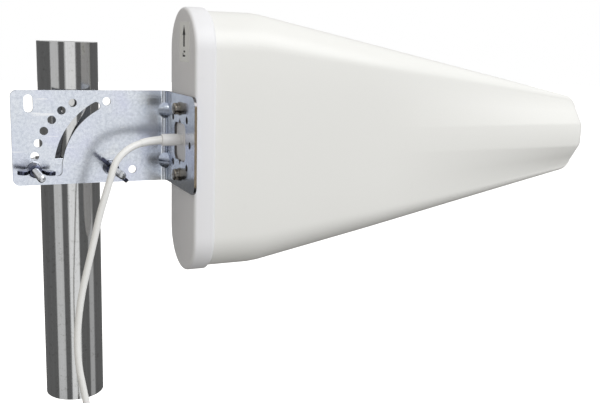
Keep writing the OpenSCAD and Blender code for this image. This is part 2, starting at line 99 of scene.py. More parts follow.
def add_object(name, data, body, replaces=()):
    """Puts a mesh or curve in the scene, on its body and the nodes it stands for."""
    obj = bpy.data.objects.new(name, data)
    bpy.context.scene.collection.objects.link(obj)
    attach(obj, body)
    if replaces:
        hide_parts(*replaces)
    return obj


def mesh_from(name, points, faces):
    """A mesh from points in millimetres."""
    mesh = bpy.data.meshes.new(name)
    mesh.from_pydata([tuple(c * MM for c in p) for p in points], [], faces)
    work = bmesh.new()
    work.from_mesh(mesh)
    bmesh.ops.recalc_face_normals(work, faces=work.faces)
    work.to_mesh(mesh)
    work.free()
    return mesh


def shade(obj, angle=35):
    """Smooth shading that keeps edges sharper than the angle."""
    mesh = obj.data
    mesh.shade_smooth()
    work = bmesh.new()
    work.from_mesh(mesh)
    limit = math.radians(angle)
    for edge in work.edges:
        if len(edge.link_faces) == 2 and edge.calc_face_angle(0) > limit:
            edge.smooth = False
    work.to_mesh(mesh)
    work.free()
    return obj


def ring_faces(rings, count, closed=False, first_cap=True, last_cap=True):
    """Faces between consecutive rings of count points each."""
    faces = []
    last = rings if closed else rings - 1
    for i in range(last):
        a = i * count
        b = (i + 1) % rings * count
        for k in range(count):
            m = (k + 1) % count
            faces.append((a + k, a + m, b + m, b + k))
    if not closed and first_cap:
        faces.append(tuple(range(count - 1, -1, -1)))
    if not closed and last_cap:
        faces.append(tuple((rings - 1) * count + k for k in range(count)))
    return faces


def applied(obj):
    """Applies an object's modifiers to its mesh."""
    bpy.context.view_layer.update()
    graph = bpy.context.evaluated_depsgraph_get()
    mesh = bpy.data.meshes.new_from_object(obj.evaluated_get(graph), depsgraph=graph)
    obj.modifiers.clear()
    obj.data = mesh
    return obj


def cut(obj, *cutters):
    """Subtracts other meshes from obj and deletes them."""
    for tool in cutters:
        step = obj.modifiers.new("cut", "BOOLEAN")
        step.operation = "DIFFERENCE"
        step.solver = "EXACT"
        step.object = tool
    applied(obj)
    for tool in cutters:
        bpy.data.objects.remove(tool)
    return obj


def cylinder_tool(start, direction, radius, length, sides=48):
    """A loose cylinder in millimetres, for cutting."""
    turn = Vector(direction).to_track_quat("Z", "Y")
    points = []
    for h in (0, length):
        for k in range(sides):
            a = 2 * math.pi * k / sides
            points.append(Vector(start) + turn @ Vector((radius * math.cos(a), radius * math.sin(a), h)))
    obj = bpy.data.objects.new("tool", mesh_from("tool", points, ring_faces(2, sides)))
    bpy.context.scene.collection.objects.link(obj)
    return obj


def turned(name, profile, start, direction, sides=48):
    """A solid of revolution: profile lists (radius, height) in millimetres from start along direction."""
    turn = Vector(direction).to_track_quat("Z", "Y")
    points = []
    for radius, height in profile:
        for k in range(sides):
            a = 2 * math.pi * k / sides
            local = Vector((radius * math.cos(a), radius * math.sin(a), height))
            points.append(Vector(start) + turn @ local)
    return mesh_from(name, points, ring_faces(len(profile), sides, closed=True))


def fillet(corner_r, corner_h, radius, a0, a1, steps=5):
    """Points of an arc in a (radius, height) profile, angles in degrees."""
    return [
        (
            corner_r + radius * math.cos(math.radians(a0 + (a1 - a0) * k / steps)),
            corner_h + radius * math.sin(math.radians(a0 + (a1 - a0) * k / steps)),
        )
        for k in range(steps + 1)
    ]


# ---- Camera ----


def make_camera():
    """Looks at the object from its left front, a little above it."""
    azimuth, pitch, roll = math.radians(-25.27), math.radians(11.26), math.radians(1.87)
    back = Vector(
        (
            math.sin(azimuth) * math.cos(pitch),
            -math.cos(azimuth) * math.cos(pitch),
            math.sin(pitch),
        )
    )
    right = Vector((0, 0, 1)).cross(back).normalized()
    up = back.cross(right)
    right_r = math.cos(roll) * right + math.sin(roll) * up
    up_r = back.cross(right_r)
    turn = Matrix((right_r, up_r, back)).transposed().to_4x4()
    data = bpy.data.cameras.new("camera")
    data.lens = 48.33
    data.sensor_width = 36
    camera = bpy.data.objects.new("camera", data)
    camera.matrix_world = Matrix.Translation(Vector((-0.110, -0.6885, 0.3092))) @ turn
    bpy.context.scene.collection.objects.link(camera)
    bpy.context.scene.camera = camera


make_camera()


# ---- Cable ----

# The cable's route outside the gland, the same as in the CAD source
CABLE_ROUTE = [
    (59.45, -69.5, 229.2), (49.5, -70, 228.3), (42.75, -71, 227), (35.25, -72.5, 224.5),
    (28.75, -74, 220.5), (23.75, -75, 215.5), (20.75, -75.5, 210), (18.25, -75.5, 202),
    (14.75, -75, 190.5), (9.75, -74, 173), (6.25, -73, 157.5), (1.75, -72, 137.5),
    (-3.25, -71, 116), (-6.25, -70.5, 99), (-8.25, -70, 80), (-8.75, -70, 65),
    (-7.75, -70, 48), (-5.25, -70, 32), (-2.75, -70, 17), (-0.25, -70, 0),
    (1.25, -70, -15), (1.75, -70, -30),
]
CABLE_RADIUS = 2.7
SLEEVE_POINTS = 3


def smooth_route(route, steps):
    """Points of a smooth curve through the route, with that many steps a stretch."""
    pts = [Vector(p) for p in route]
    out = []
    for i in range(len(pts) - 1):
        a, b, c, d = pts[max(i - 1, 0)], pts[i], pts[i + 1], pts[min(i + 2, len(pts) - 1)]
        for k in range(steps):
            u = k / steps
            out.append(
                (2 * b + (c - a) * u + (2 * a - 5 * b + 4 * c - d) * u * u
                 + (3 * b - a - 3 * c + d) * u * u * u) / 2
            )
    out.append(pts[-1])
    return out


def make_cable():
    """The coaxial cable as a round curve on its route."""
    points = smooth_route(CABLE_ROUTE, 5)
    data = bpy.data.curves.new("coax_cable_jacket", "CURVE")
    data.dimensions = "3D"
    data.bevel_depth = 1
    data.bevel_resolution = 8
    data.use_fill_caps = True
    line = data.splines.new("POLY")
    line.points.add(len(points) - 1)
    for point, place in zip(line.points, points):
        point.co = (*(place * MM), 1)
        point.radius = CABLE_RADIUS * MM
    line.use_smooth = True
    cable = add_object("coax_cable_jacket", data, HEAD, ["coax_cable"])
    return cable, points


cable, cable_points = make_cable()


def tube_ring(points, i, radius, sides):
    """Ring of points round a route; the routes never run along Y."""
    t = (points[min(i + 1, len(points) - 1)] - points[max(i - 1, 0)]).normalized()
    n = Vector((0, 1, 0)).cross(t).normalized()
    b = t.cross(n)
    return [
        points[i] + radius * (math.cos(2 * math.pi * k / sides) * n
                              + math.sin(2 * math.pi * k / sides) * b)
        for k in range(sides)
    ]


def make_sleeve():
    """Shrink sleeve over the cable where it leaves the gland, thicker at the gland."""
    points = smooth_route(CABLE_ROUTE, 6)[: 6 * (SLEEVE_POINTS - 1) + 1]
    last = len(points) - 1
    sides = 32
    rings = []
    for i in range(last + 1):
        u = i / last
        radius = CABLE_RADIUS + 0.62 - 0.22 * u
        if i == last:
            radius -= 0.12
        rings += tube_ring(points, i, radius, sides)
    for i in range(last, -1, -1):
        rings += tube_ring(points, i, CABLE_RADIUS + 0.02, sides)
    mesh = mesh_from("strain_relief", rings, ring_faces(2 * (last + 1), sides, closed=True))
    return shade(add_object("strain_relief", mesh, HEAD, ["strain_sleeve"]), 50)


def make_connector():
    """N socket under the cable: neck, hexagon, rolled thread and an open mouth."""
    low, high = span("connector_body")
    centre_x, centre_y, top = (low.x + high.x) / 2, (low.y + high.y) / 2, high.z
    thread_r, pitch, depth, socket_r = 7.9, 1.06, 0.5, 4.3
    thread_top, mouth = top - 14, low.z
    sides = 36
    rings = []

    def add_ring(radius, z, wave=0.0):
        for k in range(sides):
            a = 2 * math.pi * k / sides
            r = radius - wave * min(abs(((z / pitch - a / (2 * math.pi)) % 1) * 2 - 1) * 1.3, 1)
            rings.append((centre_x + r * math.cos(a), centre_y + r * math.sin(a), z))

    add_ring(1.2, top)
    add_ring(4.7, top)
    add_ring(5, top - 0.3)
    add_ring(5, thread_top)
    add_ring(thread_r - 0.7, thread_top)
    add_ring(thread_r - 0.7, thread_top - 1)
    steps = int((thread_top - 1 - mouth - 0.5) / pitch * 8)
    for i in range(steps + 1):
        add_ring(thread_r, thread_top - 1 - i * pitch / 8, depth)
    add_ring(thread_r - 0.6, mouth + 0.15)
    add_ring(thread_r - 0.8, mouth)
    add_ring(socket_r + 0.3, mouth)
    add_ring(socket_r, mouth + 0.3)
    add_ring(socket_r, mouth + 13)
    add_ring(1.2, mouth + 13)
    barrel = mesh_from("connector_barrel", rings, ring_faces(len(rings) // sides, sides, closed=True))
    barrel = add_object("connector_barrel", barrel, HEAD, ["connector_body"])
    corner_r = 9.8
    hexagon = []
    for z, inset in ((top - 6, 0.9), (top - 6.5, 0), (top - 13.5, 0), (top - 14, 0.9)):
        for k in range(sides):
            a = 2 * math.pi * k / sides
            flat = corner_r * math.cos(math.pi / 6) / math.cos((a % (math.pi / 3)) - math.pi / 6)
            r = min(flat, corner_r - inset)
            hexagon.append((centre_x + r * math.cos(a), centre_y + r * math.sin(a), z))
    nut = add_object("connector_hexagon", mesh_from("connector_hexagon", hexagon, ring_faces(4, sides)),
                     HEAD, ["connector_body"])
    return [shade(barrel, 50), shade(nut, 25)]


sleeve = make_sleeve()
connector = make_connector()


# ---- Materials ----


class Surface:
    """A node material under construction."""

    def __init__(self, name, roughness, metallic=0.0, color=(0.8, 0.8, 0.8)):
        self.material = bpy.data.materials.new(name)
        self.material.use_nodes = True
        self.tree = self.material.node_tree
        self.shader = self.tree.nodes["Principled BSDF"]
        self.shader.inputs["Roughness"].default_value = roughness
        self.shader.inputs["Metallic"].default_value = metallic
        self.shader.inputs["Base Color"].default_value = (*color, 1)
        places = self.tree.nodes.new("ShaderNodeTexCoord")
        self.coords, self.normals = places.outputs["Object"], places.outputs["Normal"]

    def put(self, socket, value):
        if isinstance(value, bpy.types.NodeSocket):
            self.tree.links.new(value, socket)
        else:
            socket.default_value = value

    def parts(self, vector):
        node = self.tree.nodes.new("ShaderNodeSeparateXYZ")
        self.put(node.inputs[0], vector)
        return node.outputs

    def stretched(self, x, y, z):
        node = self.tree.nodes.new("ShaderNodeMapping")
        self.put(node.inputs["Vector"], self.coords)
        node.inputs["Scale"].default_value = (x, y, z)
        return node.outputs["Vector"]

    def noise(self, scale, detail=3.0, rough=0.5, vector=None):
        node = self.tree.nodes.new("ShaderNodeTexNoise")
        self.put(node.inputs["Vector"], vector or self.coords)
        node.inputs["Scale"].default_value = scale
        node.inputs["Detail"].default_value = detail
        node.inputs["Roughness"].default_value = rough
        return node.outputs["Fac"]

    def ramp(self, factor, stops):
        node = self.tree.nodes.new("ShaderNodeValToRGB")
        self.put(node.inputs["Fac"], factor)
        elements = node.color_ramp.elements
        while len(elements) < len(stops):
            elements.new(0.5)
        for element, (place, value) in zip(elements, stops):
            element.position = place
            element.color = (*value, 1) if isinstance(value, tuple) else (value, value, value, 1)
        return node.outputs["Color"]

    def mix(self, factor, a, b, kind="MIX"):
        node = self.tree.nodes.new("ShaderNodeMix")
        node.data_type = "RGBA"
        node.blend_type = kind
        self.put(node.inputs["Factor"], factor)
        for socket, value in ((node.inputs[6], a), (node.inputs[7], b)):
            self.put(socket, (*value, 1) if isinstance(value, tuple) else value)
        return node.outputs[2]

    def math(self, kind, a, b=0.0):
        node = self.tree.nodes.new("ShaderNodeMath")
        node.operation = kind
        self.put(node.inputs[0], a)
        self.put(node.inputs[1], b)
        return node.outputs["Value"]

    def scaled(self, value, low, high):
        node = self.tree.nodes.new("ShaderNodeMapRange")
        self.put(node.inputs["Value"], value)
        node.inputs["To Min"].default_value = low
        node.inputs["To Max"].default_value = high
        return node.outputs["Result"]

    def bump(self, height, distance, strength=1.0):
        node = self.tree.nodes.new("ShaderNodeBump")
        node.inputs["Distance"].default_value = distance
        node.inputs["Strength"].default_value = strength
        self.put(node.inputs["Height"], height)
        self.put(self.shader.inputs["Normal"], node.outputs["Normal"])

    def color(self, value):
        self.put(self.shader.inputs["Base Color"], value)

    def rough(self, value):
        self.put(self.shader.inputs["Roughness"], value)


def plastic(name, light, dark, roughness, grain=900, texture=0.00004):
    """Moulded or extruded plastic: a slow shift of tone, faint handling marks and a fine grain."""
    s = Surface(name, roughness)
    tone = s.noise(9, 3, 0.6)
    marks = s.noise(70, 5, 0.7)
    base = s.mix(s.scaled(tone, 0.2, 0.8), light, dark)
    s.color(s.mix(s.ramp(marks, [(0.62, 0.0), (0.8, 0.35)]), base, tuple(0.93 * c for c in dark)))
    s.rough(s.scaled(marks, roughness - 0.05, roughness + 0.07))
    s.bump(s.noise(grain, 2, 0.5), texture)
    return s.material


def zinc_sheet():
    """Bright zinc plate: cloudy spangle, tints, scratches, dark punched edges that are partly painted shade
    in the holes and slot, one brown outer edge.
    """
    s = Surface("zinc_sheet", 0.3, 1.0)
    clouds = s.noise(22, 4, 0.6)
    specks = s.noise(380, 4, 0.7)
    tint = s.noise(30, 2, 0.5)
    lines = s.noise(30, 3, 0.6, s.stretched(1.2, 1, 18))
    scratch = s.ramp(s.noise(55, 2, 0.5, s.stretched(0.5, 3, 7)), [(0.70, 0.0), (0.72, 1.0)])
    steel = s.mix(s.scaled(clouds, 0.0, 1.0), (0.60, 0.65, 0.74), (0.84, 0.87, 0.91))
    steel = s.mix(s.ramp(specks, [(0.38, 0.0), (0.66, 0.5)]), steel, (0.42, 0.46, 0.55))
    steel = s.mix(s.ramp(tint, [(0.5, 0.0), (0.68, 0.4)]), steel, (0.62, 0.64, 0.82))
    steel = s.mix(s.ramp(tint, [(0.30, 0.3), (0.42, 0.0)]), steel, (0.80, 0.81, 0.74))
    steel = s.mix(s.math("MULTIPLY", scratch, 0.5), steel, (0.97, 0.97, 0.97))
    fold_zone, dart_reach = 19, 12.5
    edge_normal = 0.5
    x, y, _ = s.parts(s.coords)
    nx, ny, _ = s.parts(s.normals)
    # Sideways walls of the sheet (rims, holes, slot) painted near-black: dark cut steel, and partly painted
    # shade inside the holes and slot
    cut_edges_and_hole_shade = s.math(
        "MAXIMUM",
        s.math("MULTIPLY", s.math("LESS_THAN", x, (plate_high.x - fold_zone) * MM),
               s.math("LESS_THAN", s.math("ABSOLUTE", ny), edge_normal)),
        s.math("MULTIPLY", s.math("LESS_THAN", y, (plate_front - dart_reach) * MM),
               s.math("LESS_THAN", s.math("ABSOLUTE", nx), edge_normal)),
    )
    steel = s.mix(cut_edges_and_hole_shade, steel, s.mix(specks, (0.05, 0.05, 0.06), (0.24, 0.23, 0.22)))
    rust = s.mix(s.noise(500, 3, 0.6), (0.10, 0.075, 0.05), (0.42, 0.35, 0.26))
    s.color(s.mix(s.math("LESS_THAN", y, plate_low.y * MM + 0.00012), steel, rust))
    s.rough(s.math("ADD", s.scaled(specks, 0.14, 0.25), s.scaled(lines, -0.04, 0.05)))
    s.bump(s.math("ADD", s.math("MULTIPLY", specks, 0.6), lines), 0.00004, 0.6)
    return s.material


def mast_steel():
    """Polished tube with long drawing marks and shallow pits."""
    s = Surface("mast_steel", 0.1, 1.0)
    marks = s.noise(1, 4, 0.7, s.stretched(420, 420, 2.5))
    wide = s.noise(1, 2, 0.5, s.stretched(90, 90, 2))
    spots = s.noise(260, 4, 0.75)
    base = s.mix(marks, (0.52, 0.52, 0.51), (0.72, 0.73, 0.74))
    base = s.mix(s.ramp(spots, [(0.55, 0.0), (0.72, 0.5)]), base, (0.30, 0.30, 0.28))
    s.color(base)
    s.rough(s.scaled(marks, 0.05, 0.15))
    s.bump(s.math("ADD", s.math("MULTIPLY", marks, 0.5), wide), 0.00012, 0.5)
    return s.material


def plated(name, light, dark, roughness, scale=200):
    """Plated metal with a slightly uneven skin."""
    s = Surface(name, roughness, 1.0)
    skin = s.noise(scale, 4, 0.65)
    pits = s.noise(scale * 4, 2, 0.6)
    base = s.mix(skin, light, dark)
    s.color(s.mix(s.ramp(pits, [(0.6, 0.0), (0.75, 0.5)]), base, tuple(0.6 * c for c in dark)))
    s.rough(s.scaled(skin, roughness - 0.05, roughness + 0.12))
    s.bump(skin, 0.00005, 0.6)
    return s.material


def rubber():
    s = Surface("gasket_rubber", 0.8)
    pores = s.noise(1400, 2, 0.5)
    s.color(s.mix(pores, (0.03, 0.03, 0.03), (0.07, 0.07, 0.07)))
    s.bump(pores, 0.0001)
    return s.material


MATERIALS = {
    "mast_steel": mast_steel(),
    "zinc_sheet": zinc_sheet(),
    "zinc_rod": plated("zinc_rod", (0.72, 0.73, 0.74), (0.50, 0.52, 0.56), 0.2, 160),
    # Wing nuts: the near-black colour is painted shade, bright zinc darkened to stand for the dark room the
    # nuts mirror
    "wing_nut_zinc": plated("wing_nut_zinc", (0.11, 0.12, 0.17), (0.035, 0.04, 0.07), 0.14, 120),
    "spring_steel": plated("spring_steel", (0.42, 0.42, 0.44), (0.28, 0.28, 0.30), 0.34, 300),
    "nickel_screw": plated("nickel_screw", (0.36, 0.33, 0.29), (0.13, 0.12, 0.10), 0.1, 260),
    "cap_plastic": plastic("cap_plastic", (0.83, 0.83, 0.85), (0.80, 0.80, 0.83), 0.42),
    "radome_plastic": plastic("radome_plastic", (0.84, 0.84, 0.82), (0.81, 0.81, 0.79), 0.36),
    "label_film": plastic("label_film", (0.97, 0.98, 0.97), (0.94, 0.95, 0.94), 0.22, 400),
    "gasket_rubber": rubber(),
    "inner_plastic": plastic("inner_plastic", (0.05, 0.05, 0.055), (0.035, 0.035, 0.04), 0.5),
    "boom_aluminium": plated("boom_aluminium", (0.82, 0.83, 0.84), (0.72, 0.73, 0.74), 0.32),
    "brass_rod": plated("brass_rod", (0.83, 0.66, 0.36), (0.72, 0.54, 0.27), 0.28),
    "gland_plastic": plastic("gland_plastic", (0.97, 0.97, 0.98), (0.94, 0.94, 0.95), 0.34),
    "sleeve_plastic": plastic("sleeve_plastic", (0.93, 0.93, 0.92), (0.90, 0.90, 0.89), 0.42),
    "cable_jacket": plastic("cable_jacket", (0.92, 0.92, 0.91), (0.88, 0.88, 0.87), 0.38, 1500),
    "connector_nickel": plated("connector_nickel", (0.74, 0.72, 0.68), (0.62, 0.60, 0.57), 0.2),
    "ptfe": plastic("ptfe", (0.9, 0.9, 0.88), (0.86, 0.86, 0.84), 0.5),
    "gold_contact": plated("gold_contact", (0.95, 0.74, 0.32), (0.85, 0.62, 0.22), 0.18),
    "print_ink": plastic("print_ink", (0.02, 0.02, 0.02), (0.03, 0.03, 0.03), 0.5),
}


def paint(obj, name):
    obj.data.materials.clear()
    obj.data.materials.append(MATERIALS[name])
    return obj


# ---- Carried-over CAD nodes ----

NODE_SLOTS = {row["node"]: row["material_slot"] for row in frame["record"]["subparts"]}


def soften(obj, width, segments=2, angle=35):
    """Rounds a CAD node's sharp edges with modifiers."""
    weld = obj.modifiers.new("weld", "WELD")
    weld.merge_threshold = 0.000005
    bevel = obj.modifiers.new("bevel", "BEVEL")
    bevel.width = width * MM
    bevel.segments = segments
    bevel.limit_method = "ANGLE"
    bevel.angle_limit = math.radians(angle)
    bevel.use_clamp_overlap = True
    flat = obj.modifiers.new("flat", "WEIGHTED_NORMAL")
    flat.mode = "FACE_AREA"
    flat.weight = 100
    flat.keep_sharp = True
    return obj


def make_mast():
    """The mast tube: eased rims, and even rings all the way so that its shading stays round."""
    wall, ease, step = 1.5, 0.35, 20
    height = mast_high.z - mast_low.z
    count = int(height / step)
    outer = [(mast_radius, ease + (height - 2 * ease) * k / count) for k in range(count + 1)]
    inner = [(mast_radius - wall, h) for _, h in reversed(outer)]
    profile = [(mast_radius - ease, 0.0), *outer, (mast_radius - ease, height)]
    profile += [(mast_radius - wall + ease, height), *inner, (mast_radius - wall + ease, 0.0)]
    mesh = turned("mast_stub", profile, (0, 0, mast_low.z), (0, 0, 1), 96)
    return shade(add_object("mast_stub", mesh, "mast", ["mast_tube"]), 30)


for node, obj in frame["nodes"].items():
    paint(obj, NODE_SLOTS[node])
paint(make_mast(), "mast_steel")
paint(cable, "cable_jacket")
paint(sleeve, "sleeve_plastic")
for obj in connector:
    paint(obj, "connector_nickel")
for node in ("bracket", "saddle"):
    soften(frame["nodes"][node], 0.3)
for node in ("leg_flat_washers", "leg_lock_washers", "screw_lock_washers", "screw_flat_washers"):
    soften(frame["nodes"][node], 0.12)
soften(frame["nodes"]["connector_ferrule"], 0.2)


# ---- Housing ----

# Shape of the housing body, as in the CAD source
STRAIGHT = 40
RIDGE_START = 150
RIDGE_HALF = 11
EDGE_BACK = 30
EDGE_TIP = 3.5
TIP_H = 70
TIP_T = 36
TIP_ROUND = 12
seam_x = cap_high.x
tip_x = body_high.x
body_h = body_high.z - body_low.z
body_t = body_high.y - body_low.y


def lerp(a, b, u):
    return a + (b - a) * u


def share(x, start, end):
    return min(max((x - start) / (end - start), 0), 1)


def half_outline(x, arc_steps=12):
    """Half of the body's outline at x: (thickness, height) pairs from the lower edge up."""
    s = share(x, seam_x + STRAIGHT, tip_x)
    f = share(x, seam_x + RIDGE_START, tip_x)
    h = lerp(body_h, TIP_H, s) / 2
    t = lerp(body_t, TIP_T, s) / 2
    depth = lerp(EDGE_BACK, EDGE_TIP, s)
    e = min(lerp(t, EDGE_TIP, f**1.15), t)
    z = h - depth
    lower = [
        (e * math.sin(math.pi / 2 * k / arc_steps), -z - depth * math.cos(math.pi / 2 * k / arc_steps))
        for k in range(arc_steps + 1)
    ]
    soft = 1.2
    slope = (t - e) / max(z - RIDGE_HALF, 1)
    side = [
        (lerp(e, t, 0.5), -lerp(z, RIDGE_HALF, 0.5)),
        (t - slope * soft, -RIDGE_HALF - soft),
        (t, -RIDGE_HALF + soft),
        (t, 0),
    ]
    below = lower + side
    return below + [(a, -b) for a, b in reversed(below[:-1])]


def body_ring(x, k_h, k_t):
    near = half_outline(x)
    left = [(x, axis.y - a * k_t, axis.z + b * k_h) for a, b in near]
    right = [(x, axis.y + a * k_t, axis.z + b * k_h) for a, b in near[-2:0:-1]]
    return left + right


def make_body():
    """The housing body, rounded at its tip, with side ridges that fade towards the cap."""
    places = [body_low.x, seam_x, seam_x + 20, seam_x + 36, seam_x + 44]
    places += [seam_x + d for d in range(60, 366, 12)]
    places.append(tip_x - TIP_ROUND)
    rings = [body_ring(x, 1, 1) for x in places]
    for a in range(10, 90, 8):
        c, s = math.cos(math.radians(a)), math.sin(math.radians(a))
        x = tip_x - TIP_ROUND + TIP_ROUND * s
        rings.append(body_ring(x, 1 - 0.3 * (1 - c), 1 - 0.35 * (1 - c)))
    count = len(rings[0])
    points = [p for ring in rings for p in ring]
    mesh = mesh_from("housing_body", points, ring_faces(len(rings), count, last_cap=False))
    obj = add_object("housing_body", mesh, HEAD, ["radome_shell"])
    work = bmesh.new()
    work.from_mesh(obj.data)
    rim = [e for e in work.edges if e.is_boundary]
    bmesh.ops.contextual_create(work, geom=rim)
    work.to_mesh(obj.data)
    work.free()
    shade(obj, 40)
    return paint(obj, "radome_plastic")


def stadium_ring(x, h, t, arc=24):
    """Upright stadium outline round the housing's axis at x."""
    r = t / 2
    straight = h / 2 - r
    points = []
    for k in range(arc + 1):
        a = math.pi * k / arc
        points.append((x, axis.y + r * math.cos(a), axis.z + straight + r * math.sin(a)))
    for k in range(arc + 1):
        a = math.pi + math.pi * k / arc
        points.append((x, axis.y + r * math.cos(a), axis.z - straight + r * math.sin(a)))
    return points


def make_cap():
    """Rear cap: rounded back edge, straight skirt, eased rim and a closed inside."""
    h, t = cap_high.z - cap_low.z, cap_high.y - cap_low.y
    wall = 2.2
    back_r, rim = 2.6, 1.9
    rings = []
    for k in range(7):
        a = math.pi / 2 * k / 6
        inset = back_r * (1 - math.sin(a))
        rings.append(stadium_ring(cap_low.x + back_r * (1 - math.cos(a)), h - 2 * inset, t - 2 * inset))
    for back, inset in ((rim + 0.25, 0), (rim, 0.06), (0.3, rim - 0.35), (0.1, rim - 0.12), (0, rim)):
        rings.append(stadium_ring(cap_high.x - back, h - 2 * inset, t - 2 * inset))
    rings.append(stadium_ring(cap_high.x, h - 2 * wall, t - 2 * wall))
    rings.append(stadium_ring(cap_low.x + 2.5, h - 2 * wall, t - 2 * wall))
    count = len(rings[0])
    points = [p for ring in rings for p in ring]
    mesh = mesh_from("rear_cap", points, ring_faces(len(rings), count))
    obj = add_object("rear_cap", mesh, HEAD, ["end_cap"])
    gland, screws = middle("cable_gland"), span("mount_screws")
    spread = (screws[1].z - screws[0].z) / 2 - SCREW_HEAD_RADIUS
    gland_hole, screw_hole, before, through = 4.1, 2.75, 5, 12
    tools = [cylinder_tool((cap_low.x - before, gland.y, gland.z), (1, 0, 0), gland_hole, through)]
    for side in (-1, 1):
        start = (cap_low.x - before, axis.y, axis.z + side * spread)
        tools.append(cylinder_tool(start, (1, 0, 0), screw_hole, through))
    cut(obj, *tools)
    shade(obj, 40)
    return paint(obj, "cap_plastic")


def make_label_print():
    """Up arrow and a plain mark, printed on the label film."""
    low, high = span("direction_label")
    x = low.x - 0.02
    y = (low.y + high.y) / 2
    top = high.z - 2.4
    arrow = [(0, 0), (3.8, -7.8), (1.8, -7.4), (1.8, -16.5), (-1.8, -16.5), (-1.8, -7.4), (-3.8, -7.8)]
    mark = [(3.2, -19.5), (3.2, -20.9), (-1.2, -20.9), (-1.2, -19.5)]
    mark_low = [(3.2, -22.8), (3.2, -24.2), (-3.2, -24.2), (-3.2, -22.8), (-3.2, -21.4), (-1.6, -21.4),
                (-1.6, -22.8)]
    points, faces = [], []
    for shape in (arrow, mark, mark_low):
        start = len(points)
        points += [(x, y + 1.0 - a, top + b) for a, b in shape]
        faces.append(tuple(range(start, start + len(shape))))
    mesh = mesh_from("label_print", points, faces)
    thick = add_object("label_print", mesh, HEAD)
    step = thick.modifiers.new("thick", "SOLIDIFY")
    step.thickness = 0.00002
    step.offset = 0
    applied(thick)
    return paint(thick, "print_ink")


def make_gland():
    """Gland body with eased ends, on a shorter neck that goes into the cap."""
    low, high = span("cable_gland")
    radius, bore, neck = (high.z - low.z) / 2, 2.8, 4.0
    shoulder = cap_low.x - 2.2 - low.x
    profile = [(bore, 0.0), (radius - 1.1, 0.0)]
    profile += fillet(radius - 0.6, 0.6, 0.6, -90, 0)
    profile += fillet(radius - 0.9, shoulder - 0.9, 0.9, 0, 80)
    profile += [(neck, shoulder), (neck, high.x - low.x), (bore, high.x - low.x)]
    start = (low.x, (low.y + high.y) / 2, (low.z + high.z) / 2)
    mesh = turned("gland_body", profile, start, (1, 0, 0), 48)
    obj = add_object("gland_body", mesh, HEAD, ["cable_gland"])
    return paint(shade(obj, 35), "gland_plastic")


make_body()
make_cap()
make_label_print()
make_gland()


# ---- Clamp ----


def make_u_bolt():
    """U-bolt with rolled threads on both legs."""
    pitch, depth = 1.0, 0.36
    tip_y, back_y = bolt_low.y, bolt_high.y - rod_radius - half_pitch
    threaded = plate_front + 6
    sides, per_pitch = 28, 8
    rings = []

    def leg_rings(side, places):
        for y in places:
            taper = min((y - tip_y) / 1.2, 1)
            run_out = min(max((threaded + 2 - y) / 2, 0), 1)
            for k in range(sides):
                a = 2 * math.pi * k / sides
                wave = abs(((y / pitch - side * a / (2 * math.pi)) % 1) * 2 - 1)
                r = rod_radius - depth * run_out * min(wave * 1.25, 1)
                r -= 0.8 * (1 - taper)
                x = leg_mid + side * (half_pitch + r * math.cos(a))
                rings.append((x, y, leg_z + r * math.sin(a)))

    fine = [tip_y + i * pitch / per_pitch for i in range(int((threaded + 2 - tip_y) * per_pitch) + 1)]
    coarse = [threaded + 2 + (back_y - threaded - 2) * k / 6 for k in range(1, 7)]
    leg_rings(-1, fine + coarse)
    turns = 40
    for i in range(1, turns):
        a = math.pi * i / turns
        out = Vector((-math.cos(a), math.sin(a), 0))
        centre = Vector((leg_mid, back_y, leg_z)) + half_pitch * out
        for k in range(sides):
            b = 2 * math.pi * k / sides
            rings.append(centre + rod_radius * (math.cos(b) * out + math.sin(b) * Vector((0, 0, 1))))
    leg_rings(1, list(reversed(fine + coarse)))
    mesh = mesh_from("u_bolt_rod", rings, ring_faces(len(rings) // sides, sides))
    obj = add_object("u_bolt_rod", mesh, "u_bolt", ["u_bolt"])
    return paint(shade(obj, 60), "zinc_rod")


def wing_outline(side, steps=10):
    """Outline of one wing: (distance from the axis, height over the seat)."""
    points = [(0, 1.2), (4.2, 1.6), (6.0, 2.8)]
    for k in range(steps + 1):
        a = math.radians(-40 + 190 * k / steps)
        points.append((10.2 + 4.1 * math.cos(a), 13.8 + 4.1 * math.sin(a)))
    points += [(5.2, 10.4), (4.5, 8.4), (0, 8.0)]
    return [(side * a, b) for a, b in points]


